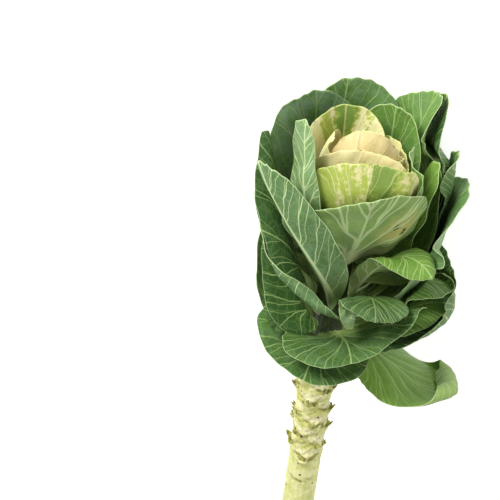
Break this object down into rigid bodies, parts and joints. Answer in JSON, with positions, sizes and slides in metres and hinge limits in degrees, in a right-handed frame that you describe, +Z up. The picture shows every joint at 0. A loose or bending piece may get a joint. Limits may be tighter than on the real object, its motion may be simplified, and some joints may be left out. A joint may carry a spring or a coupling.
{
  "type": "flowering kale",
  "caption": "Cut stem of flowering kale lying on its side: thick scarred stalk, head of layered blue-green leaves, one leaf hanging below it, cream heart at the tip.",
  "frame": {"origin": "middle of the bounding box in X and Y, on the surface the stem lies on", "axes": "+Z up from the surface; +Y along the stem, from its cut end towards the heart of the head; +X to the right, the side the hanging leaf is on, seen from above with the head away from the viewer"},
  "size_m": [0.145, 0.4438, 0.1285],
  "materials": {
    "stalk_skin": "rough",
    "cream_leaf": "satin",
    "green_leaf": "satin"
  },
  "bodies": {
    "root": {"stalk": "stalk_skin", "heart_bud": "cream_leaf", "heart_leaf_01": "cream_leaf", "heart_leaf_02": "cream_leaf", "heart_leaf_03": "cream_leaf", "heart_leaf_04": "cream_leaf", "heart_leaf_05": "cream_leaf", "heart_leaf_06": "cream_leaf", "heart_leaf_07": "cream_leaf", "heart_leaf_08": "cream_leaf", "heart_leaf_09": "cream_leaf", "leaf_01": "green_leaf", "leaf_02": "green_leaf", "leaf_03": "green_leaf", "leaf_04": "green_leaf", "leaf_05": "green_leaf", "leaf_06": "green_leaf", "leaf_07": "green_leaf", "leaf_08": "green_leaf", "leaf_09": "green_leaf", "leaf_10": "green_leaf", "leaf_11": "green_leaf", "leaf_12": "green_leaf", "leaf_13": "green_leaf", "leaf_14": "green_leaf", "leaf_15": "green_leaf", "leaf_16": "green_leaf", "leaf_17": "green_leaf", "leaf_18": "green_leaf", "leaf_19": "green_leaf", "leaf_20": "green_leaf", "leaf_21": "green_leaf", "leaf_22": "green_leaf", "leaf_23": "green_leaf", "leaf_24": "green_leaf", "leaf_25": "green_leaf", "leaf_26": "green_leaf", "leaf_27": "green_leaf", "leaf_28": "green_leaf", "leaf_29": "green_leaf", "leaf_30": "green_leaf", "leaf_31": "green_leaf"}
  },
  "joints": []
}
